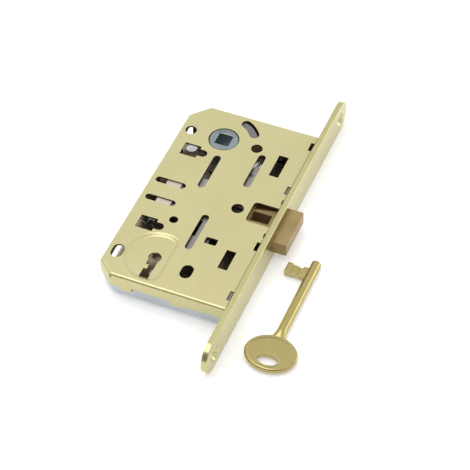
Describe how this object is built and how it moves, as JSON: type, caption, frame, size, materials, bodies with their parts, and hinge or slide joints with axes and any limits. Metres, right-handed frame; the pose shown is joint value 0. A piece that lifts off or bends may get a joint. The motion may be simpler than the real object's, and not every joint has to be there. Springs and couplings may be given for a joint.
{
  "type": "key mortise lock",
  "caption": "Mortise lock for an interior door: long round-ended forend, pressed brass-coloured case, square follower, central sliding bolt and a bit key beside it.",
  "frame": {"origin": "centre of the forend's outer face, midway between the two screw holes and at half the case's thickness", "axes": "+X out of the forend, the way the bolt comes out; +Y along the forend, from the keyhole towards the follower; +Z out of the cover, up as the lock lies on its back"},
  "size_m": [0.112, 0.196, 0.018],
  "materials": {
    "cover_brass": "pale brass-coloured plating, satin",
    "forend_brass": "pale brass-coloured plating, satin",
    "zinc_sheet": "bright zinc plating",
    "follower_cast": "grey zinc casting, matt",
    "plate_steel": "zinc-plated strip",
    "turned_steel": "turned steel",
    "spring_wire": "drawn spring wire",
    "bolt_plastic": "bronze-coloured engineering plastic",
    "glide_plastic": "white low-friction plastic",
    "key_brass": "cast, pale brass finish"
  },
  "bodies": {
    "case": {"case_cover": "cover_brass", "case_base": "zinc_sheet", "forend": "forend_brass", "guide_posts": "turned_steel", "throw_guide_post": "turned_steel", "bolt_spring_post": "turned_steel", "lever_pivot_post": "turned_steel", "spring_anchor_pins": "turned_steel", "follower_washer": "zinc_sheet", "bolt_spring": "spring_wire", "follower_spring": "spring_wire", "lever_spring": "spring_wire"},
    "follower": {"follower_hub": "follower_cast", "follower_cam": "plate_steel"},
    "throw": {"throw_plate": "plate_steel", "locking_stump": "turned_steel"},
    "bolt": {"bolt_head": "bolt_plastic", "bolt_tail": "plate_steel", "bolt_rivets": "turned_steel", "carriage_plate": "plate_steel", "carriage_spacer": "plate_steel", "carriage_hook": "plate_steel", "glide_pads": "glide_plastic", "carriage_rivets": "turned_steel", "carriage_drive_pins": "turned_steel", "bolt_spring_pin": "turned_steel"},
    "lever": {"locking_lever": "plate_steel", "lever_stud": "turned_steel"},
    "key": {"key": "key_brass"}
  },
  "joints": [
    {"name": "follower_turn", "type": "hinge", "parent": "case", "child": "follower", "pos_m": [-0.05, 0.0435, 0], "axis": [0, 0, 1], "range_deg": [-31, 0], "stiffness_Nm_per_rad": 0.35, "springref_deg": 20.05, "deforming": ["follower_spring"]},
    {"name": "throw_slide", "type": "slide", "parent": "case", "child": "throw", "axis": [1, 0, 0], "range_m": [0, 0.0052]},
    {"name": "bolt_slide", "type": "slide", "parent": "throw", "child": "bolt", "axis": [1, 0, 0], "range_m": [-0.0077, 0], "deforming": ["bolt_spring"]},
    {"name": "lever_lift", "type": "hinge", "parent": "case", "child": "lever", "pos_m": [-0.0695, -0.014, 0], "axis": [0, 0, 1], "range_deg": [0, 4], "deforming": ["lever_spring"]},
    {"name": "key_lift", "type": "slide", "parent": "case", "child": "key", "axis": [0, 0, 1], "range_m": [0, 0.05]}
  ],
  "couplings": [
    {"joint": "bolt_slide", "follows": "follower_turn", "m_per_rad": 0.01423},
    {"joint": "lever_lift", "follows": "throw_slide", "rad_per_m": 13.42}
  ]
}
